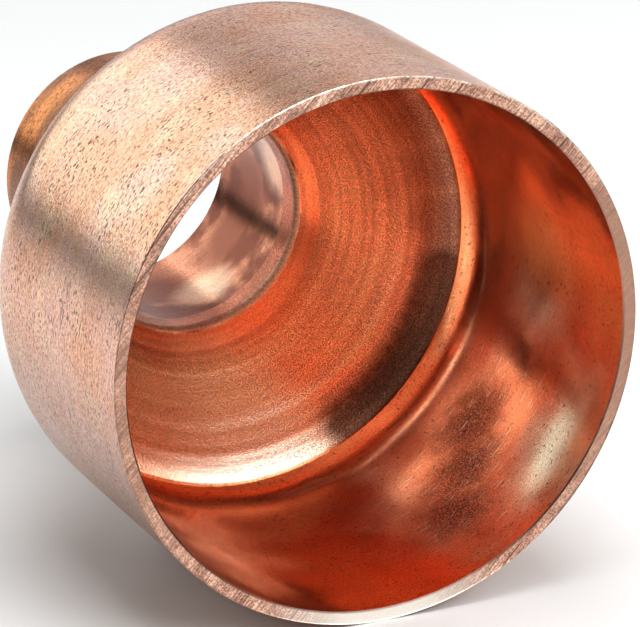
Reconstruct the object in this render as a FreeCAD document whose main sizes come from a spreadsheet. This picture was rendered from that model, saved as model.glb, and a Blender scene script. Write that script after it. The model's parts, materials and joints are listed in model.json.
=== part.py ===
import FreeCAD, Part
import Sketcher
import os
from math import atan2, cos, pi, radians, sin
from FreeCAD import Vector

# A wrought copper concentric reducer, drawn in one piece from seamless tube. Its wide end is a plain
# fitting end of tube size; a rounded shoulder and a cone lead down to a narrow solder socket.
# The run axis is Y: the wide mouth is centred on the origin and faces -Y, the socket opens towards +Y,
# and +Z is up. Lengths are in millimetres and angles in degrees.

# Driving dimensions: alias, value, meaning.
SIZES = [
    ("wide_od", 79.38, "outside diameter of the wide end, that of 3 1/8 in tube"),
    ("wide_wall", 1.93, "wall of the wide end"),
    ("wide_length", 41.5, "straight length of the wide end, which goes into a 3 in socket"),
    ("shoulder_radius", 15.2, "outside radius of the shoulder between the wide end and the cone"),
    ("ledge_angle", 31.0, "turn of the shoulder at which the smooth bore of the wide end stops"),
    ("cone_angle", 43.5, "slope of the cone against the run axis"),
    ("ledge_step", 0.37, "height of the ledge, by which the drawn cone's wall is the thicker one"),
    ("neck_radius", 6.0, "outside radius between the cone and the narrow end"),
    ("throat_radius", 2.4, "inside radius between the cone and the throat"),
    ("throat_length", 3.2, "straight length of the throat, up to the tube stop"),
    ("stop_step", 0.3, "how far the tube stop stands in from the bore of the socket"),
    ("tube_od", 34.92, "outside diameter of the 1 3/8 in tube that the socket takes"),
    ("tube_gap", 0.12, "capillary clearance round that tube, on the diameter"),
    ("socket_depth", 24.6, "depth of the socket, from its mouth to the tube stop"),
    ("socket_wall", 1.45, "wall of the narrow end"),
    ("edge_break", 0.2, "bevel on the corners of both mouths"),
]

START, END, CENTRE = 1, 2, 3    # how a sketch numbers the points of an edge
RADIUS_AXIS = -1                # the sketch's own horizontal axis
SAME_PLACE = 0.001              # closer together than this is one place


def make_sheet(doc):
    """Spreadsheet of the driving dimensions, one aliased cell each."""
    sheet = doc.addObject("Spreadsheet::Sheet", "Sizes")
    for row, (alias, value, meaning) in enumerate(SIZES, start=1):
        sheet.set(f"A{row}", alias)
        sheet.set(f"B{row}", str(value))
        sheet.set(f"C{row}", meaning)
        sheet.setAlias(f"B{row}", alias)
    doc.recompute()
    return sheet


def line(start, end):
    return Part.LineSegment(start, end)


def arc(centre, radius, start_angle, end_angle):
    """Arc that turns anticlockwise from start_angle to end_angle, in radians."""
    return Part.ArcOfCircle(Part.Circle(centre, Vector(0, 0, 1), radius), start_angle, end_angle)


def polar(centre, radius, angle):
    return centre + Vector(radius * cos(angle), radius * sin(angle), 0)


def turn_centre(wall_radius, turn_radius, cone_point, cone):
    """Centre of the turn from the cone through cone_point into a straight wall of this radius."""
    across = wall_radius + turn_radius
    along = cone_point.y + (turn_radius - (across - cone_point.x) * cos(cone)) / sin(cone)
    return Vector(across, along, 0)


def wall_edges(sheet):
    """Name and shape of each edge round the wall's section, as radius against run."""
    cone = radians(sheet.cone_angle)
    ledge = radians(sheet.ledge_angle)
    outer_turn = sheet.shoulder_radius
    sized_turn = sheet.shoulder_radius - sheet.wide_wall
    dome_turn = sized_turn - sheet.ledge_step

    wide_outer = sheet.wide_od / 2
    wide_inner = wide_outer - sheet.wide_wall
    socket_inner = (sheet.tube_od + sheet.tube_gap) / 2
    socket_outer = socket_inner + sheet.socket_wall
    throat_inner = socket_inner - sheet.stop_step

    shoulder = Vector(wide_outer - outer_turn, sheet.wide_length, 0)
    cone_outside = polar(shoulder, outer_turn, cone)
    cone_inside = polar(shoulder, dome_turn, cone)
    neck = turn_centre(socket_outer, sheet.neck_radius, cone_outside, cone)
    throat = turn_centre(throat_inner, sheet.throat_radius, cone_inside, cone)
    stop_at = throat.y + sheet.throat_length
    mouth_at = stop_at + sheet.socket_depth

    return {
        "wide_mouth": line(Vector(wide_inner, 0, 0), Vector(wide_outer, 0, 0)),
        "wide_outside": line(Vector(wide_outer, 0, 0), Vector(wide_outer, sheet.wide_length, 0)),
        "shoulder": arc(shoulder, outer_turn, 0, cone),
        "cone_outside": line(cone_outside, polar(neck, sheet.neck_radius, pi + cone)),
        "neck": arc(neck, sheet.neck_radius, pi, pi + cone),
        "narrow_outside": line(Vector(socket_outer, neck.y, 0), Vector(socket_outer, mouth_at, 0)),
        "narrow_mouth": line(Vector(socket_outer, mouth_at, 0), Vector(socket_inner, mouth_at, 0)),
        "socket": line(Vector(socket_inner, mouth_at, 0), Vector(socket_inner, stop_at, 0)),
        "tube_stop": line(Vector(socket_inner, stop_at, 0), Vector(throat_inner, stop_at, 0)),
        "throat": line(Vector(throat_inner, stop_at, 0), Vector(throat_inner, throat.y, 0)),
        "throat_turn": arc(throat, sheet.throat_radius, pi, pi + cone),
        "cone_inside": line(polar(throat, sheet.throat_radius, pi + cone), cone_inside),
        "dome": arc(shoulder, dome_turn, ledge, cone),
        "ledge": line(polar(shoulder, dome_turn, ledge), polar(shoulder, sized_turn, ledge)),
        "sized_shoulder": arc(shoulder, sized_turn, 0, ledge),
        "wide_bore": line(Vector(wide_inner, sheet.wide_length, 0), Vector(wide_inner, 0, 0)),
    }


# Where the section's edges meet, going round it: edge and end, edge and end, smooth or sharp.
JOINS = [
    ("wide_mouth", END, "wide_outside", START, "Coincident"),
    ("wide_outside", END, "shoulder", START, "Tangent"),
    ("shoulder", END, "cone_outside", START, "Tangent"),
    ("cone_outside", END, "neck", END, "Tangent"),
    ("neck", START, "narrow_outside", START, "Tangent"),
    ("narrow_outside", END, "narrow_mouth", START, "Coincident"),
    ("narrow_mouth", END, "socket", START, "Coincident"),
    ("socket", END, "tube_stop", START, "Coincident"),
    ("tube_stop", END, "throat", START, "Coincident"),
    ("throat", END, "throat_turn", START, "Tangent"),
    ("throat_turn", END, "cone_inside", START, "Tangent"),
    ("cone_inside", END, "dome", END, "Tangent"),
    ("dome", START, "ledge", START, "Coincident"),
    ("ledge", END, "sized_shoulder", END, "Coincident"),
    ("sized_shoulder", START, "wide_bore", START, "Tangent"),
    ("wide_bore", END, "wide_mouth", START, "Coincident"),
]

LEVEL = ["wide_mouth", "narrow_mouth", "tube_stop"]
UPRIGHT = ["wide_outside", "narrow_outside", "socket", "throat", "wide_bore"]

# The section's dimensions: name, what drives it on the sheet, kind, edge and point that it measures.
DIMENSIONS = [
    ("wide_radius", "Sizes.wide_od / 2", "DistanceX", "wide_mouth", END),
    ("wide_wall", "Sizes.wide_wall", "Distance", "wide_mouth", None),
    ("wide_length", "Sizes.wide_length", "Distance", "wide_outside", None),
    ("shoulder_radius", "Sizes.shoulder_radius", "Radius", "shoulder", None),
    ("dome_radius", "Sizes.shoulder_radius - Sizes.wide_wall - Sizes.ledge_step", "Radius", "dome", None),
    ("ledge_angle", "Sizes.ledge_angle", "Angle", "ledge", None),
    ("cone_angle", "90 + Sizes.cone_angle", "Angle", "cone_outside", None),
    ("neck_radius", "Sizes.neck_radius", "Radius", "neck", None),
    ("throat_radius", "Sizes.throat_radius", "Radius", "throat_turn", None),
    ("throat_length", "Sizes.throat_length", "Distance", "throat", None),
    ("stop_step", "Sizes.stop_step", "Distance", "tube_stop", None),
    ("socket_radius", "(Sizes.tube_od + Sizes.tube_gap) / 2", "DistanceX", "socket", START),
    ("socket_depth", "Sizes.socket_depth", "Distance", "socket", None),
    ("socket_wall", "Sizes.socket_wall", "Distance", "narrow_mouth", None),
]


def dimension(kind, index, point, shape):
    """Dimensional constraint on an edge that starts at the size drawn."""
    if kind == "Radius":
        return Sketcher.Constraint(kind, index, shape.Radius)
    along = shape.EndPoint - shape.StartPoint
    if kind == "Distance":
        return Sketcher.Constraint(kind, index, along.Length)
    if kind == "Angle":
        return Sketcher.Constraint(kind, index, atan2(along.y, along.x))
    drawn = shape.StartPoint if point == START else shape.EndPoint
    return Sketcher.Constraint(kind, RADIUS_AXIS, START, index, point, drawn.x)


def draw_section(body, sheet):
    """Sketch of the wall's section, with every size driven by the sheet."""
    sketch = body.newObject("Sketcher::SketchObject", "wall_section")
    plane = next(item for item in body.Origin.OriginFeatures if item.Role == "XY_Plane")
    sketch.AttachmentSupport = [(plane, "")]
    sketch.MapMode = "FlatFace"

    shapes = wall_edges(sheet)
    edge = {name: sketch.addGeometry(shape, False) for name, shape in shapes.items()}

    def tie(*constraint):
        sketch.addConstraint(Sketcher.Constraint(*constraint))

    for first, first_end, second, second_end, kind in JOINS:
        tie(kind, edge[first], first_end, edge[second], second_end)
    for name in LEVEL:
        tie("Horizontal", edge[name])
    for name in UPRIGHT:
        tie("Vertical", edge[name])
    tie("PointOnObject", edge["wide_mouth"], START, RADIUS_AXIS)
    tie("Coincident", edge["dome"], CENTRE, edge["shoulder"], CENTRE)
    tie("Coincident", edge["sized_shoulder"], CENTRE, edge["shoulder"], CENTRE)
    tie("PointOnObject", edge["shoulder"], CENTRE, edge["ledge"])
    tie("Parallel", edge["cone_outside"], edge["cone_inside"])

    for name, expression, kind, on, point in DIMENSIONS:
        index = sketch.addConstraint(dimension(kind, edge[on], point, shapes[on]))
        sketch.renameConstraint(index, name)
        sketch.setExpression(f"Constraints.{name}", expression)
    return sketch


def is_mouth_corner(edge, overall_length):
    """True for the sharp circles round the two mouths."""
    across_run = edge.BoundBox.YLength < SAME_PLACE
    at_mouth = min(abs(edge.BoundBox.YMin), abs(edge.BoundBox.YMin - overall_length)) < SAME_PLACE
    return across_run and at_mouth


def make_reducer_body(doc, sheet):
    """The fitting: the wall's section turned about the run axis, with its mouths deburred."""
    body = doc.addObject("PartDesign::Body", "reducer_body")
    body.Label = "reducer_body"
    section = draw_section(body, sheet)
    doc.recompute()

    wall = body.newObject("PartDesign::Revolution", "wall")
    wall.Profile = section
    wall.ReferenceAxis = (section, ["V_Axis"])
    wall.Angle = 360
    doc.recompute()

    length = wall.Shape.BoundBox.YMax
    edges = enumerate(wall.Shape.Edges, start=1)
    corners = [f"Edge{number}" for number, edge in edges if is_mouth_corner(edge, length)]
    deburr = body.newObject("PartDesign::Chamfer", "mouth_corners")
    deburr.Base = (wall, corners)
    deburr.setExpression("Size", "Sizes.edge_break")
    return body


def check(doc, bodies):
    """Stops unless every object was computed and every body is one valid solid."""
    for item in doc.Objects:
        if "Invalid" in item.State or "Error" in item.State:
            raise RuntimeError(f"{item.Label} was not computed: {item.State}")
    for body in bodies:
        if body.Shape.isNull() or not body.Shape.isValid() or len(body.Shape.Solids) != 1:
            raise RuntimeError(f"{body.Label} is not one valid solid")


def main():
    doc = FreeCAD.newDocument("concentric_reducer")
    sheet = make_sheet(doc)
    bodies = [make_reducer_body(doc, sheet)]
    doc.recompute()
    check(doc, bodies)
    os.makedirs("parts", exist_ok=True)
    for body in bodies:
        body.Shape.exportStep(f"parts/{body.Label}.step")
        box = body.Shape.optimalBoundingBox(False, False)
        print(f"{body.Label}: {box.XLength:.2f} x {box.YLength:.2f} x {box.ZLength:.2f} mm,"
              f" {body.Shape.Volume:.0f} mm3, {len(body.Shape.Faces)} faces")


main()
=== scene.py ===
"""Looks of a wrought copper concentric reducer lying on its side on a pale floor.

The run axis is Y: the wide mouth is centred on the origin and faces -Y, the narrow socket opens
towards +Y, and +Z is up. Lengths are in metres.
"""
import json
from math import cos, pi, radians, sin

import bpy
import numpy as np
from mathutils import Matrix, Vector


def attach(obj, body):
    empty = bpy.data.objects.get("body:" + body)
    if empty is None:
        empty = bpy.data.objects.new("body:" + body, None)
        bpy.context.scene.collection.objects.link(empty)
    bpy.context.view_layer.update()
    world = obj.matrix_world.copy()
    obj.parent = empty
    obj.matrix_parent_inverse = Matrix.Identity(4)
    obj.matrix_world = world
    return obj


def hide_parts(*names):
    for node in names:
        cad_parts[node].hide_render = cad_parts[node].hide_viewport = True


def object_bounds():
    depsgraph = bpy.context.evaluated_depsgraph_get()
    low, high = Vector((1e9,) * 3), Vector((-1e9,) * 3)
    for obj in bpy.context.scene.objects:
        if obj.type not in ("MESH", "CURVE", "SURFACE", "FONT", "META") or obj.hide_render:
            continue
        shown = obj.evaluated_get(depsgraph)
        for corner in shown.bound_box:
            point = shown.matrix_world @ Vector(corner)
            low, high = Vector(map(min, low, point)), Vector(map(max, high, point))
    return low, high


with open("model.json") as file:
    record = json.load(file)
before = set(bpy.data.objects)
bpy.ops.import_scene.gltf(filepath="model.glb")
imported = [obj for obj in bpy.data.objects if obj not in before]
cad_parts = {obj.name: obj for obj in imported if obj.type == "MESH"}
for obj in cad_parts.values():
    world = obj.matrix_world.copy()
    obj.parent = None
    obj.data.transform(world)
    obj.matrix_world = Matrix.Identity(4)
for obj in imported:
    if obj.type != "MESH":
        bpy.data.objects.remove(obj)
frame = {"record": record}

CAD_LOW, CAD_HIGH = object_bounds()
MM = 0.001

# Sizes of the fitting: its ends from the frame, and the rest as the design has them.
MOUNTS = {mount["name"]: mount for mount in frame["record"]["mounts"]}
LENGTH = CAD_HIGH.y
WIDE_OUTER = MOUNTS["wide_fitting_end"]["dims"]["r_mm"] * MM
SOCKET_INNER = MOUNTS["narrow_socket"]["dims"]["r_mm"] * MM
WIDE_WALL = 1.93 * MM
WIDE_LENGTH = 41.5 * MM
SHOULDER_RADIUS = 15.2 * MM
LEDGE_ANGLE = radians(31.0)
CONE_ANGLE = radians(43.5)
CONE_WALL = 2.3 * MM
NECK_RADIUS = 6.0 * MM
THROAT_RADIUS = 2.4 * MM
THROAT_LENGTH = 3.2 * MM
STOP_STEP = 0.3 * MM
SOCKET_WALL = 1.45 * MM

# Small shapes left by forming and sawing.
TURNS = 416                  # points round each ring of the surface
BEVEL = 0.12 * MM            # corners of the socket's mouth
BURR = 0.22 * MM             # outer corner of the sawn rim
SAW_BEVEL = 0.2 * MM         # inner corner of the sawn rim
SAW_FACE = 0.09 * MM         # how far the sawn face lies behind its burr
SAW_DEPTH = 0.07 * MM        # deepest stroke of the saw
SAW_ANGLE = radians(47.0)    # direction of the saw's strokes across the wide rim
BAND_SLOPE = 0.34            # tilt of the pressed band beside the ledge, against the cone
BAND_WIDTH = 2.4 * MM
RIDGE_HEIGHT = 0.05 * MM     # forming rings of the inner cone
RIPPLE_HEIGHT = 0.06 * MM    # waves in the wide bore
CONE_RIPPLE = 0.4            # share of those waves that the inner cone has
DENT_DEPTH = 0.036 * MM      # deepest hollow of the outside
DENT_SPREAD = 1.8            # how much of the outside the hollows take up
NECK_GAP = 0.5 * MM          # from the end of the neck's turn to the next ring of points
SHOULDER_GAP = 0.8 * MM      # from the end of the sized shoulder's turn to the next ring of points
STEP_ON = 0.01               # radians from the end of a cone's turn to the next ring of points
SHARP_CORNER = radians(28)   # edges that bend by more are not shaded smooth

# Regions of the surface, numbered as its materials are.
OUTSIDE, WIDE_RIM, WIDE_BORE, CONE_INSIDE, THROAT, NARROW_INSIDE, NARROW_RIM = range(7)


# ---------------------------------------------------------------- shape of the wall

def point(radius, run):
    return np.array([radius, run])


def polar(centre, radius, angle):
    return np.array([centre[0] + radius * cos(angle), centre[1] + radius * sin(angle)])


def turn_centre(wall_radius, turn_radius, cone_point):
    """Centre of the turn from the cone through cone_point into a straight wall of this radius."""
    across = wall_radius + turn_radius
    reach = turn_radius - (across - cone_point[0]) * cos(CONE_ANGLE)
    return np.array([across, cone_point[1] + reach / sin(CONE_ANGLE)])


def arc(centre, radius, start, end, count):
    """Points on an arc, both ends among them."""
    return [polar(centre, radius, angle) for angle in np.linspace(start, end, count)]


def stretch(start, end, count):
    """Evenly spaced points from start to end, without the last one."""
    return [start + (end - start) * share for share in np.arange(count) / count]


def dome(throat_end, ledge, count):
    """Inner cone from the throat to the ledge, with the flatter band that the ledge's punch pressed."""
    chord = ledge - throat_end
    length = np.linalg.norm(chord)
    side = point(-chord[1], chord[0]) / length
    from_ledge, spacing = np.linspace(0, length, 400, retstep=True)
    slope = BAND_SLOPE / (1 + (from_ledge / BAND_WIDTH) ** 3)
    rise = np.concatenate([[0], np.cumsum(slope[:-1] + slope[1:])]) * spacing / 2
    rise -= rise[-1] * from_ledge / length
    steps = np.arange(count) / count
    heights = np.interp((1 - steps) * length, from_ledge, rise)
    return [throat_end + chord * step - side * height for step, height in zip(steps, heights)]


def wall_profile():
    """(radius, run) points round the wall's section with the region that each belongs to."""
    shoulder = point(WIDE_OUTER - SHOULDER_RADIUS, WIDE_LENGTH)
    wide_inner = WIDE_OUTER - WIDE_WALL
    narrow_outer = SOCKET_INNER + SOCKET_WALL
    throat_inner = SOCKET_INNER - STOP_STEP
    dome_radius = SHOULDER_RADIUS - CONE_WALL
    sized_radius = SHOULDER_RADIUS - WIDE_WALL
    neck = turn_centre(narrow_outer, NECK_RADIUS, polar(shoulder, SHOULDER_RADIUS, CONE_ANGLE))
    throat = turn_centre(throat_inner, THROAT_RADIUS, polar(shoulder, dome_radius, CONE_ANGLE))
    stop = throat[1] + THROAT_LENGTH

    sections = [
        (OUTSIDE, stretch(point(WIDE_OUTER, 0.6 * BURR), point(WIDE_OUTER, WIDE_LENGTH), 22)),
        (OUTSIDE, arc(shoulder, SHOULDER_RADIUS, 0, CONE_ANGLE, 16)),
        (OUTSIDE, stretch(polar(shoulder, SHOULDER_RADIUS, CONE_ANGLE + STEP_ON),
                          polar(neck, NECK_RADIUS, pi + CONE_ANGLE), 13)),
        (OUTSIDE, arc(neck, NECK_RADIUS, pi + CONE_ANGLE, pi, 10)),
        (OUTSIDE, stretch(point(narrow_outer, neck[1] + NECK_GAP),
                          point(narrow_outer, LENGTH - BEVEL), 16)),
        (NARROW_RIM, stretch(point(narrow_outer, LENGTH - BEVEL),
                             point(narrow_outer - BEVEL, LENGTH), 2)),
        (NARROW_RIM, stretch(point(narrow_outer - BEVEL, LENGTH),
                             point(SOCKET_INNER + BEVEL, LENGTH), 4)),
        (NARROW_RIM, stretch(point(SOCKET_INNER + BEVEL, LENGTH),
                             point(SOCKET_INNER, LENGTH - BEVEL), 2)),
        (NARROW_INSIDE, stretch(point(SOCKET_INNER, LENGTH - BEVEL), point(SOCKET_INNER, stop), 14)),
        (THROAT, stretch(point(SOCKET_INNER, stop), point(throat_inner, stop), 2)),
        (THROAT, stretch(point(throat_inner, stop), point(throat_inner, throat[1]), 6)),
        (THROAT, arc(throat, THROAT_RADIUS, pi, pi + CONE_ANGLE, 8)),
        (CONE_INSIDE, dome(polar(throat, THROAT_RADIUS, pi + CONE_ANGLE + 2 * STEP_ON),
                           polar(shoulder, dome_radius, LEDGE_ANGLE), 52)),
        (CONE_INSIDE, [polar(shoulder, dome_radius, LEDGE_ANGLE)]),
        (WIDE_BORE, arc(shoulder, sized_radius, LEDGE_ANGLE, 0, 14)),
        (WIDE_BORE, stretch(point(wide_inner, WIDE_LENGTH - SHOULDER_GAP),
                            point(wide_inner, SAW_FACE + SAW_BEVEL), 34)),
        (WIDE_RIM, stretch(point(wide_inner, SAW_FACE + SAW_BEVEL),
                           point(wide_inner + SAW_BEVEL, SAW_FACE), 2)),
        (WIDE_RIM, stretch(point(wide_inner + SAW_BEVEL, SAW_FACE),
                           point(WIDE_OUTER - BURR, SAW_FACE), 9)),
        (WIDE_RIM, [point(WIDE_OUTER - BURR, SAW_FACE), point(WIDE_OUTER - 0.5 * BURR, 0)]),
    ]
    points = np.array([place for _, places in sections for place in places])
    regions = np.array([region for region, places in sections for _ in places])
    return points, regions


# ---------------------------------------------------------------- marks in the surface

def ripples(angle, run, longest, shortest, seed, count=40):
    """Smooth random waves between these lengths over the wall, mostly within -1 and 1."""
    random = np.random.default_rng(seed)
    total = np.zeros(angle.shape)
    for _ in range(count):
        length = longest * (shortest / longest) ** random.random()
        direction = random.random() * 2 * pi
        turns = round(2 * pi * WIDE_OUTER / length * cos(direction))
        along = 2 * pi / length * sin(direction)
        total += np.cos(turns * angle + along * run + random.random() * 2 * pi)
    return total / (0.9 * count ** 0.5)


def ring_ridges(angle, run, seed, count=14):
    """Rings left by forming the cone, each stronger on one side."""
    random = np.random.default_rng(seed)
    total = np.zeros(angle.shape)
    for _ in range(count):
        middle = random.uniform(50, 67) * MM
        width = random.uniform(0.5, 1.3) * MM
        strongest = random.uniform(-2.6, -0.6)
        side = 0.35 + 0.65 * np.cos((angle - strongest) / 2) ** 4
        total += random.choice([-1, 1]) * side * np.exp(-((run - middle) / width) ** 2)
    return total


def saw_marks(across, along, seed, count=90):
    """Depth, from 0 to 1, of straight saw strokes at uneven spacing across the rim."""
    random = np.random.default_rng(seed)
    depth = np.zeros(across.shape)
    for _ in range(count):
        place = random.uniform(-1, 1) * WIDE_OUTER
        width = random.uniform(0.15, 0.4) * MM
        start = random.uniform(-1, 1) * WIDE_OUTER
        reach = random.uniform(0.3, 1.2) * WIDE_OUTER
        inside = np.abs(along - start) < reach
        groove = random.uniform(0.3, 1.0) * np.exp(-((across - place) / width) ** 2)
        depth = np.maximum(depth, groove * inside)
    return depth


def inward_push(angle, run, region):
    """How far each point is pushed in: waves in the bore and cone, forming rings, hollows outside."""
    wave = ripples(angle, run, 32 * MM, 11 * MM, seed=3)
    dents = ripples(angle, run, 30 * MM, 8 * MM, seed=8)
    ridges = ring_ridges(angle, run, seed=5)
    ease = np.clip((run - 0.5 * MM) / (3 * MM), 0, 1) * np.clip((LENGTH - run) / (20 * MM), 0, 1)
    in_bore = RIPPLE_HEIGHT * wave * ease
    on_cone = RIDGE_HEIGHT * ridges + CONE_RIPPLE * in_bore
    outside = DENT_DEPTH * (1 - np.abs(dents) / DENT_SPREAD).clip(0) * ease
    places = [region == WIDE_BORE, region == CONE_INSIDE, region == OUTSIDE]
    return np.select(places, [in_bore, on_cone, outside], 0.0)


def saw_cuts(x, z, radius, region):
    """How far each point of the sawn face is cut back; its burr is left proud."""
    across = -x * sin(SAW_ANGLE) + z * cos(SAW_ANGLE)
    along = x * cos(SAW_ANGLE) + z * sin(SAW_ANGLE)
    face = (region == WIDE_RIM) & (radius < WIDE_OUTER - 0.9 * BURR)
    return np.where(face, SAW_DEPTH * saw_marks(across, along, seed=11), 0.0)


def build_fitting():
    """Surface of the fitting: the wall's profile turned about the run axis, with its marks."""
    points, regions = wall_profile()
    rows = len(points)
    angle = np.tile(np.arange(TURNS) * 2 * pi / TURNS, (rows, 1))
    radius = np.repeat(points[:, :1], TURNS, axis=1)
    run = np.repeat(points[:, 1:], TURNS, axis=1)
    region = np.repeat(regions[:, None], TURNS, axis=1)

    slope = np.gradient(points, axis=0)
    slope /= np.linalg.norm(slope, axis=1)[:, None]
    push = inward_push(angle, run, region)
    radius = radius - push * slope[:, 1:]
    run = run + np.where(region == OUTSIDE, 0, push * slope[:, :1])

    x = radius * np.cos(angle)
    z = radius * np.sin(angle)
    run = run + saw_cuts(x, z, radius, region)

    vertices = np.stack([x, run, z], axis=-1)
    index = np.arange(rows * TURNS).reshape(rows, TURNS)
    after = np.roll(index, -1, axis=0)
    quads = np.stack([index, after, np.roll(after, -1, axis=1), np.roll(index, -1, axis=1)], axis=-1)

    mesh = bpy.data.meshes.new("copper_reducer")
    mesh.from_pydata(vertices.reshape(-1, 3), [], quads.reshape(-1, 4).tolist())
    mesh.polygons.foreach_set("material_index", np.repeat(regions, TURNS).astype(np.int32))
    mesh.update()
    mesh.shade_smooth()
    mesh.set_sharp_from_angle(angle=SHARP_CORNER)
    fitting = bpy.data.objects.new("copper_reducer", mesh)
    bpy.context.scene.collection.objects.link(fitting)
    return fitting


# ---------------------------------------------------------------- materials

ROUND = (3.0, 1.0, 3.0)      # stretch of marks that are drawn out round the fitting


def ring_place(angle, radius, run):
    """Point at this angle in degrees from +X towards +Z round the run axis."""
    return (radius * cos(radians(angle)), run, radius * sin(radians(angle)))


class Nodes:
    """Adds and joins the nodes of one metal material, in object coordinates."""

    def __init__(self, name):
        self.material = bpy.data.materials.new(name)
        self.material.use_nodes = True
        self.tree = self.material.node_tree
        self.shader = self.tree.nodes["Principled BSDF"]
        self.shader.inputs["Metallic"].default_value = 1
        self.place = self.add("ShaderNodeTexCoord").outputs["Object"]
        split = self.add("ShaderNodeSeparateXYZ")
        self.feed(split.inputs[0], self.place)
        self.run = split.outputs["Y"]
        self.height = split.outputs["Z"]

    def add(self, kind, **settings):
        node = self.tree.nodes.new(kind)
        for name, value in settings.items():
            setattr(node, name, value)
        return node

    def feed(self, socket, value):
        if isinstance(value, bpy.types.NodeSocket):
            self.tree.links.new(value, socket)
        elif socket.type == "RGBA":
            socket.default_value = (*value, 1)
        else:
            socket.default_value = value

    def maths(self, operation, first, second):
        node = self.add("ShaderNodeMath", operation=operation)
        self.feed(node.inputs[0], first)
        self.feed(node.inputs[1], second)
        return node.outputs[0]

    def vector(self, operation, first, second, output=0):
        node = self.add("ShaderNodeVectorMath", operation=operation)
        self.feed(node.inputs[0], first)
        self.feed(node.inputs[1], second)
        return node.outputs[output]

    def noise(self, size, stretch=(1, 1, 1), detail=2.0, place=None):
        """Noise whose features are about this size, and longer where stretch is more than 1."""
        scale = tuple(1 / (size * s) for s in stretch)
        node = self.add("ShaderNodeTexNoise")
        self.feed(node.inputs["Vector"], self.vector("MULTIPLY", place or self.place, scale))
        node.inputs["Scale"].default_value = 1
        node.inputs["Detail"].default_value = detail
        return node.outputs["Fac"]

    def fade(self, value, low, high, at_low=0.0, at_high=1.0):
        node = self.add("ShaderNodeMapRange", interpolation_type="SMOOTHSTEP")
        for socket, setting in zip(node.inputs, (value, low, high, at_low, at_high)):
            self.feed(socket, setting)
        return node.outputs[0]

    def blend(self, factor, first, second):
        node = self.add("ShaderNodeMix", data_type="RGBA")
        self.feed(node.inputs[0], factor)
        self.feed(node.inputs[6], first)
        self.feed(node.inputs[7], second)
        return node.outputs[2]

    def shade(self, colour, factor):
        node = self.add("ShaderNodeVectorMath", operation="SCALE")
        self.feed(node.inputs[0], colour)
        self.feed(node.inputs["Scale"], factor)
        return node.outputs[0]

    def near(self, centre, radius, ragged):
        """1 near this point, fading to 0 at the radius along a ragged edge."""
        distance = self.vector("DISTANCE", self.place, centre, output="Value")
        wander = self.maths("MULTIPLY", self.noise(radius * 0.35, detail=4), ragged)
        return self.fade(self.maths("ADD", distance, wander), radius + ragged, radius * 0.45)

    def near_any(self, centres, radius, ragged):
        mask = self.near(centres[0], radius, ragged)
        for centre in centres[1:]:
            mask = self.either(mask, self.near(centre, radius, ragged))
        return mask

    def near_arc(self, angles, ring_radius, run, radius, ragged):
        """1 near a stretch of this ring, given by points at these angles."""
        return self.near_any([ring_place(angle, ring_radius, run) for angle in angles], radius, ragged)

    def both(self, first, second):
        return self.maths("MULTIPLY", first, second)

    def either(self, first, second):
        return self.maths("MAXIMUM", first, second)

    def finish(self, colour, roughness, height, depth):
        self.feed(self.shader.inputs["Base Color"], colour)
        self.feed(self.shader.inputs["Roughness"], roughness)
        bump = self.add("ShaderNodeBump")
        bump.inputs["Distance"].default_value = depth
        self.feed(bump.inputs["Height"], height)
        self.feed(self.shader.inputs["Normal"], bump.outputs["Normal"])
        return self.material


def outside_material():
    """Drawn and handled: pinkish tan, grainy and pitted, painted shade underneath, a gold narrow end."""
    n = Nodes("copper_outside")
    tan, pink, straw = (0.88, 0.45, 0.29), (0.90, 0.52, 0.40), (0.94, 0.60, 0.41)
    gold, brown, orange = (0.76, 0.25, 0.07), (0.30, 0.10, 0.035), (0.90, 0.36, 0.17)
    dark = (0.14, 0.07, 0.05)
    colour = n.blend(n.fade(n.noise(14 * MM, detail=3), 0.4, 0.6), tan, pink)
    colour = n.blend(n.fade(n.noise(6 * MM, detail=3), 0.5, 0.7, 0, 0.75), colour, straw)
    clean_and_highlight = n.blend(n.fade(n.noise(5 * MM, ROUND), 0.4, 0.65), gold, brown)
    colour = n.blend(n.fade(n.run, 62 * MM, 72 * MM), colour, clean_and_highlight)
    stain_and_painted_shade = n.fade(n.noise(2.2 * MM, ROUND, detail=1), 0.69, 0.75)
    colour = n.blend(n.both(stain_and_painted_shade, 0.6), colour, orange)

    grain = n.noise(0.30 * MM, (1.4, 1, 1.4), detail=3)
    lines = n.noise(0.35 * MM, (60, 1, 60), detail=2)
    pitted = n.fade(n.noise(9 * MM, detail=2), 0.38, 0.62, 0.35, 1.0)
    pits = n.both(n.fade(n.noise(0.34 * MM, (2.2, 1, 2.2), detail=0), 0.65, 0.72), pitted)
    colour = n.shade(colour, n.fade(grain, 0.34, 0.66, 0.74, 1.16))
    colour = n.shade(colour, n.fade(lines, 0.34, 0.66, 0.9, 1.06))
    # Painted shade: the colour darkens towards the bottom of the outside.
    colour = n.shade(colour, n.fade(n.height, 8 * MM, -14 * MM, 1.0, 0.66))
    colour = n.blend(n.both(pits, 0.9), colour, dark)
    roughness = n.fade(grain, 0.3, 0.7, 0.30, 0.20)
    height = n.maths("SUBTRACT", n.maths("ADD", n.both(grain, 0.8), n.both(lines, 0.3)), pits)
    return n.finish(colour, roughness, height, 0.035 * MM)


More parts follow.
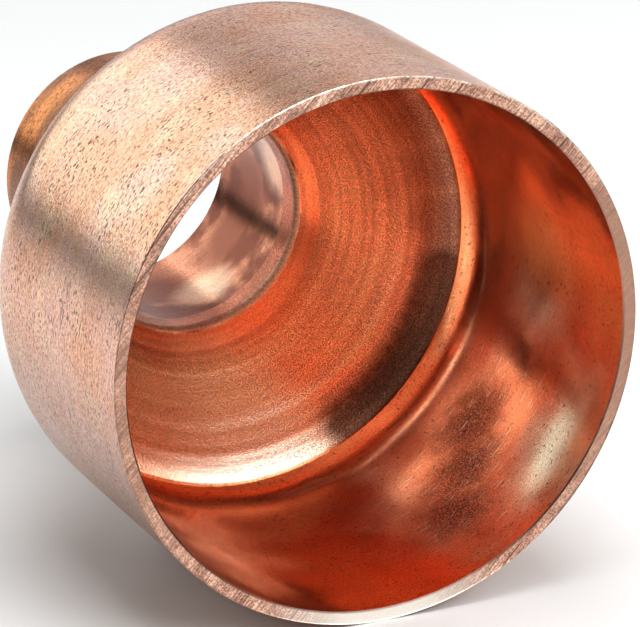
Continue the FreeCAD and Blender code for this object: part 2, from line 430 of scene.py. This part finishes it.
def wide_rim_material():
    """Sawn end: straight uneven strokes at one angle, painted shade at the sides, painted highlights
    below and on top.
    """
    n = Nodes("copper_sawn_rim")
    across = n.vector("DOT_PRODUCT", n.place, (-sin(SAW_ANGLE), 0, cos(SAW_ANGLE)), output="Value")
    along = n.vector("DOT_PRODUCT", n.place, (cos(SAW_ANGLE), 0, sin(SAW_ANGLE)), output="Value")
    join = n.add("ShaderNodeCombineXYZ")
    n.feed(join.inputs["X"], across)
    n.feed(join.inputs["Y"], along)
    strokes = n.noise(0.22 * MM, (1, 40, 1), detail=2, place=join.outputs[0])
    coarse = n.noise(0.7 * MM, (1, 30, 1), detail=1, place=join.outputs[0])
    grain = n.noise(0.25 * MM, detail=1)
    clean_and_highlight, dull, dark = (0.90, 0.55, 0.41), (0.60, 0.34, 0.25), (0.16, 0.08, 0.06)
    highlight_cream, brown = (0.99, 0.95, 0.86), (0.44, 0.26, 0.19)
    colour = n.blend(n.fade(n.noise(5 * MM, detail=3), 0.4, 0.62), clean_and_highlight, dull)
    colour = n.shade(colour, n.fade(grain, 0.34, 0.66, 0.6, 1.25))
    colour = n.shade(colour, n.fade(strokes, 0.34, 0.66, 0.6, 1.2))
    colour = n.blend(n.fade(coarse, 0.62, 0.7, 0, 0.8), colour, dark)
    # Painted shade: browner patches at the right and left sides of the rim.
    colour = n.blend(n.both(n.near((WIDE_OUTER, 0, 0), 32 * MM, 6 * MM), 0.9), colour, brown)
    colour = n.blend(n.both(n.near((-WIDE_OUTER, 0, -6 * MM), 26 * MM, 6 * MM), 0.5), colour, brown)
    # Painted highlight: a cream patch at the bottom of the rim.
    colour = n.blend(n.near((0, 0, -WIDE_OUTER), 17 * MM, 6 * MM), colour, highlight_cream)
    reach = n.vector("LENGTH", n.vector("MULTIPLY", n.place, (1, 0, 1)), (0, 0, 0), output="Value")
    wide_inner = WIDE_OUTER - WIDE_WALL
    # Painted shadow: a dark line along the inner corner on the lower side of the rim.
    undercut_shadow = n.fade(reach, wide_inner + 0.30 * MM, wide_inner + 0.12 * MM)
    low_side = n.fade(n.height, 6 * MM, -8 * MM)
    colour = n.blend(n.both(n.both(undercut_shadow, low_side), 0.85), colour, dark)
    # Painted highlight: a pale line along the outer burr on the top side of the rim.
    high_side = n.fade(n.height, 16 * MM, 32 * MM)
    burr_highlight = n.both(n.fade(reach, WIDE_OUTER - 0.34 * MM, WIDE_OUTER - 0.24 * MM), high_side)
    burr_highlight = n.both(burr_highlight, n.fade(n.noise(0.9 * MM, detail=3), 0.42, 0.6, 0.15, 0.75))
    colour = n.blend(burr_highlight, colour, highlight_cream)
    height = n.maths("ADD", n.maths("ADD", strokes, n.both(coarse, -1.0)), n.both(grain, 0.5))
    return n.finish(colour, n.fade(strokes, 0.3, 0.7, 0.42, 0.28), height, 0.07 * MM)


def wide_bore_material():
    """Smooth sized bore: saturated orange red with specks, scratches and one coarse mottled patch."""
    n = Nodes("copper_wide_bore")
    red, orange, deep = (0.94, 0.42, 0.25), (0.96, 0.49, 0.30), (0.88, 0.22, 0.09)
    pale, dark = (1.0, 0.84, 0.62), (0.16, 0.08, 0.05)
    colour = n.blend(n.fade(n.noise(11 * MM, detail=3), 0.38, 0.62), red, orange)
    grain = n.noise(0.3 * MM, detail=1)
    sparkle = n.noise(0.24 * MM, detail=2)
    patch = n.near_any([(28.5 * MM, 30 * MM, -24 * MM), (24.5 * MM, 23 * MM, -28 * MM),
                        (19.5 * MM, 16 * MM, -32 * MM)], 8 * MM, 5 * MM)
    ruddy = n.near((29 * MM, 22 * MM, -25 * MM), 30 * MM, 8 * MM)
    # Painted reflection: two pale patches on the right side of the bore.
    painted_reflection_patches = n.near_any([(37.7 * MM, 24 * MM, 1 * MM), (31 * MM, 6 * MM, -21 * MM)], 11 * MM, 4 * MM)
    specks = n.fade(n.noise(0.5 * MM, detail=0), 0.72, 0.77)
    scratch = n.fade(n.noise(0.2 * MM, (30, 1, 12), detail=0), 0.74, 0.8)
    mottle = n.fade(sparkle, 0.38, 0.66, 0.08, 0.8)
    colour = n.blend(ruddy, colour, deep)
    colour = n.blend(n.both(painted_reflection_patches, 0.95), colour, pale)
    colour = n.shade(colour, n.fade(grain, 0.36, 0.64, 0.88, 1.08))
    colour = n.blend(patch, colour, n.shade(colour, mottle))
    colour = n.blend(n.both(specks, 0.6), colour, dark)
    colour = n.blend(n.both(scratch, 0.5), colour, pale)
    polish = n.fade(n.noise(7 * MM, detail=2), 0.35, 0.65, 0.15, 0.22)
    roughness = n.maths("ADD", polish, n.both(patch, 0.14))
    height = n.maths("ADD", n.both(grain, 0.35), n.both(n.both(sparkle, 3.0), patch))
    return n.finish(colour, roughness, height, 0.012 * MM)


def cone_material():
    """Formed inner cone: fine grain and faint rings, painted shade and sheen, and a painted highlight by
    the ledge.
    """
    n = Nodes("copper_inner_cone")
    red, orange, deep = (0.93, 0.42, 0.26), (0.97, 0.50, 0.31), (0.90, 0.33, 0.18)
    bright, pale = (0.99, 0.78, 0.60), (0.99, 0.86, 0.74)
    brown, shade_black = (0.36, 0.15, 0.09), (0.08, 0.02, 0.01)
    grain = n.noise(0.19 * MM, detail=2)
    rings = n.noise(0.8 * MM, (50, 1, 50), detail=3)
    # Painted shade: brown over the upper right of the cone.
    painted_upper_shade = n.near_arc((20, 45, 70), 29 * MM, 56 * MM, 15 * MM, 5 * MM)
    # Painted sheen: paler colour round the left side of the cone.
    painted_sheen = n.near_arc((-95, -125, -155, 175), 27 * MM, 58 * MM, 15 * MM, 5 * MM)
    # Painted shade: a brown band beside the ledge on the upper right of the cone.
    stain_and_painted_shade = n.near_arc((2, 16, 30, 44), 34.5 * MM, 50 * MM, 8 * MM, 2 * MM)
    # Painted shade: a near-black band beside the ledge on the lower right of the cone.
    painted_dark_band = n.near_arc(range(-58, -10, 5), 34.8 * MM, 49.6 * MM, 6.5 * MM, 1.0 * MM)
    # Painted highlight: a pale place by the ledge at the bottom of the cone.
    painted_bottom_highlight = n.near((1 * MM, 50 * MM, -34 * MM), 17 * MM, 3 * MM)
    colour = n.blend(n.fade(n.noise(9 * MM, detail=3), 0.38, 0.62), red, orange)
    colour = n.blend(n.fade(n.run, 61 * MM, 65 * MM), colour, deep)
    colour = n.blend(n.both(painted_upper_shade, 0.6), colour, brown)
    colour = n.blend(painted_sheen, colour, bright)
    colour = n.blend(n.both(painted_bottom_highlight, 0.8), colour, pale)
    colour = n.blend(stain_and_painted_shade, colour, brown)
    colour = n.blend(n.both(painted_dark_band, 0.9), colour, shade_black)
    rough_part = n.fade(n.run, 66.5 * MM, 62 * MM, 0.25, 1.0)
    grit = n.both(n.fade(grain, 0.36, 0.64, -0.38, 0.3), rough_part)
    colour = n.shade(colour, n.maths("ADD", grit, 1.0))
    colour = n.shade(colour, n.fade(rings, 0.34, 0.66, 0.82, 1.1))
    roughness = n.fade(grain, 0.3, 0.7, 0.34, 0.2)
    height = n.both(n.maths("ADD", grain, n.both(rings, 0.5)), rough_part)
    return n.finish(colour, roughness, height, 0.06 * MM)


def throat_material():
    """Narrowest band before the tube stop: dull red, with a painted highlight in streaks at its turn
    into the cone.
    """
    n = Nodes("copper_throat")
    red, dull, bright = (0.66, 0.20, 0.11), (0.42, 0.13, 0.07), (0.99, 0.82, 0.66)
    colour = n.blend(n.fade(n.noise(5 * MM, detail=3), 0.4, 0.62), red, dull)
    grain = n.noise(0.26 * MM, detail=2)
    streaks = n.noise(0.24 * MM, (1, 8, 1), detail=1)
    # Painted highlight: bright streaks round the turn into the cone.
    ring = n.fade(n.run, 68.7 * MM, 68.1 * MM)
    colour = n.shade(colour, n.fade(grain, 0.36, 0.64, 0.75, 1.15))
    colour = n.blend(n.both(n.fade(streaks, 0.42, 0.58, 0.6, 1.0), ring), colour, bright)
    height = n.maths("ADD", n.both(grain, 0.5), n.both(n.both(streaks, ring), 0.5))
    roughness = n.maths("ADD", n.fade(grain, 0.3, 0.7, 0.34, 0.24), n.both(ring, 0.2))
    return n.finish(colour, roughness, height, 0.03 * MM)


def narrow_inside_material():
    """Socket bore: smooth and pinkish, with painted brown shade and painted highlights, one along the
    stop edge.
    """
    n = Nodes("copper_socket_bore")
    pink, brown, bright = (0.74, 0.28, 0.16), (0.24, 0.06, 0.03), (0.98, 0.70, 0.50)
    colour = n.blend(n.fade(n.noise(9 * MM, detail=3), 0.42, 0.58), pink, brown)
    grain = n.noise(0.26 * MM, detail=2)
    drawn = n.noise(0.3 * MM, (40, 1, 40), detail=1)
    # Painted highlight along the stop edge.
    edge = n.fade(n.run, 72.5 * MM, 72.2 * MM)
    colour = n.shade(colour, n.fade(grain, 0.36, 0.64, 0.82, 1.12))
    colour = n.shade(colour, n.fade(drawn, 0.36, 0.64, 0.9, 1.06))
    wall = 17.5 * MM
    # Painted shade: brown over the right and lower side of the socket bore.
    painted_socket_shade = n.near_arc((-6, -20, -34, -90, -110), wall, 86 * MM, 9 * MM, 1.5 * MM)
    colour = n.blend(n.both(painted_socket_shade, 0.85), colour, brown)
    # Painted highlights: pale places in the socket bore.
    clean_and_highlight = n.near_any([ring_place(16, wall, 75 * MM), ring_place(40, wall, 77 * MM),
                        ring_place(-66, wall, 80 * MM)], 6 * MM, 1.5 * MM)
    colour = n.blend(n.both(clean_and_highlight, 0.5), colour, bright)
    colour = n.blend(edge, colour, bright)
    height = n.maths("ADD", n.both(grain, 0.6), n.both(drawn, 0.5))
    return n.finish(colour, n.fade(grain, 0.3, 0.7, 0.26, 0.18), height, 0.015 * MM)


def narrow_rim_material():
    """Turned end face of the socket."""
    n = Nodes("copper_socket_rim")
    clean_and_highlight, dull = (0.92, 0.60, 0.44), (0.66, 0.40, 0.28)
    grain = n.noise(0.25 * MM, detail=1)
    turning = n.noise(0.12 * MM, (60, 1, 60), detail=1)
    colour = n.blend(n.fade(n.noise(4 * MM, detail=3), 0.4, 0.62), clean_and_highlight, dull)
    colour = n.shade(colour, n.fade(grain, 0.25, 0.75, 0.82, 1.12))
    height = n.maths("ADD", grain, turning)
    return n.finish(colour, n.fade(grain, 0.3, 0.7, 0.38, 0.26), height, 0.02 * MM)


fitting = build_fitting()
for make_material in (outside_material, wide_rim_material, wide_bore_material,
                      cone_material, throat_material, narrow_inside_material, narrow_rim_material):
    fitting.data.materials.append(make_material())
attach(fitting, "root")
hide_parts("reducer_body")


# ---------------------------------------------------------------- floor, light and camera

MIDDLE = Vector((0, 40 * MM, 0))    # what every light faces
FLOOR_SIZE = 4.0
FLOOR_MIDDLE = (0, 50 * MM, CAD_LOW.z)

# The camera stands at the photo's viewing angle; its axis passes this far right of and above the origin.
CAMERA_AZIMUTH = radians(-24.5)
CAMERA_ELEVATION = radians(19.09)
CAMERA_DISTANCE = 577.8 * MM
CAMERA_RIGHT = -8.55 * MM
CAMERA_UP = 5.81 * MM
LENS, SENSOR = 236.1, 36            # in millimetres, as Blender takes them


def add_floor():
    bpy.ops.mesh.primitive_plane_add(size=FLOOR_SIZE, location=FLOOR_MIDDLE)
    floor = bpy.context.object
    floor.name = "floor"
    material = bpy.data.materials.new("floor")
    material.use_nodes = True
    shader = material.node_tree.nodes["Principled BSDF"]
    shader.inputs["Base Color"].default_value = (0.9, 0.9, 0.9, 1)
    shader.inputs["Roughness"].default_value = 0.6
    floor.data.materials.append(material)


def add_softbox(name, azimuth, elevation, distance, width, height, brightness, colour=(1, 1, 1)):
    """Area light seen from the fitting at this azimuth (0 is -Y, 90 is +X) and elevation, facing it.

    The brightness is the radiance of the light's face.
    """
    light = bpy.data.lights.new(name, "AREA")
    light.shape = "RECTANGLE"
    light.size = width
    light.size_y = height
    light.energy = brightness * pi * width * height
    light.color = colour
    turn, rise = radians(azimuth), radians(elevation)
    away = Vector((sin(turn) * cos(rise), -cos(turn) * cos(rise), sin(rise)))
    box = bpy.data.objects.new(name, light)
    box.location = MIDDLE + away * distance
    box.rotation_euler = away.to_track_quat("Z", "Y").to_euler()
    box.visible_camera = False
    bpy.context.scene.collection.objects.link(box)


def add_world(strength):
    world = bpy.data.worlds.new("studio")
    world.use_nodes = True
    background = world.node_tree.nodes["Background"]
    background.inputs["Color"].default_value = (1, 1, 1, 1)
    background.inputs["Strength"].default_value = strength
    bpy.context.scene.world = world


def add_camera():
    turn, rise = CAMERA_AZIMUTH, CAMERA_ELEVATION
    right = Vector((cos(turn), sin(turn), 0))
    ahead = Vector((-sin(turn) * cos(rise), cos(turn) * cos(rise), -sin(rise)))
    target = CAMERA_RIGHT * right + CAMERA_UP * right.cross(ahead)
    data = bpy.data.cameras.new("camera")
    data.lens = LENS
    data.sensor_width = SENSOR
    data.clip_start, data.clip_end = 0.01, 20
    camera = bpy.data.objects.new("camera", data)
    camera.location = target - ahead * CAMERA_DISTANCE
    camera.rotation_euler = ahead.to_track_quat("-Z", "Y").to_euler()
    bpy.context.scene.collection.objects.link(camera)
    bpy.context.scene.camera = camera


# Name, azimuth, elevation, distance, width, height, brightness, and the colour if it isn't white.
SOFTBOXES = [
    ("key_back_left", -158, 23, 0.9, 0.70, 0.58, 1.6, (0.87, 1.0, 0.99)),
    ("fill_back", 160, 17, 1.0, 0.75, 0.50, 0.8),
    ("back_right", 128, 14, 1.0, 0.50, 0.40, 2.5),
    ("front_right", 24, 32, 1.0, 0.72, 0.46, 4.2),
    ("front_left", -50, 8, 0.8, 0.22, 0.22, 2.5),
    ("front_low", -10, 7, 1.0, 0.40, 0.22, 2.0),
    ("front_high", 0, 60, 1.0, 0.90, 0.50, 1.5),
    ("left", -118, 28, 1.0, 0.50, 0.50, 1.5),
    ("right", 78, 35, 1.0, 0.50, 0.50, 2.5),
    ("overhead", 0, 88, 0.5, 0.40, 0.40, 4.2),
]

add_floor()
for softbox in SOFTBOXES:
    add_softbox(*softbox)
add_world(0.04)
add_camera()
bpy.context.scene.view_settings.view_transform = "Standard"
bpy.context.scene.view_settings.gamma = 0.9
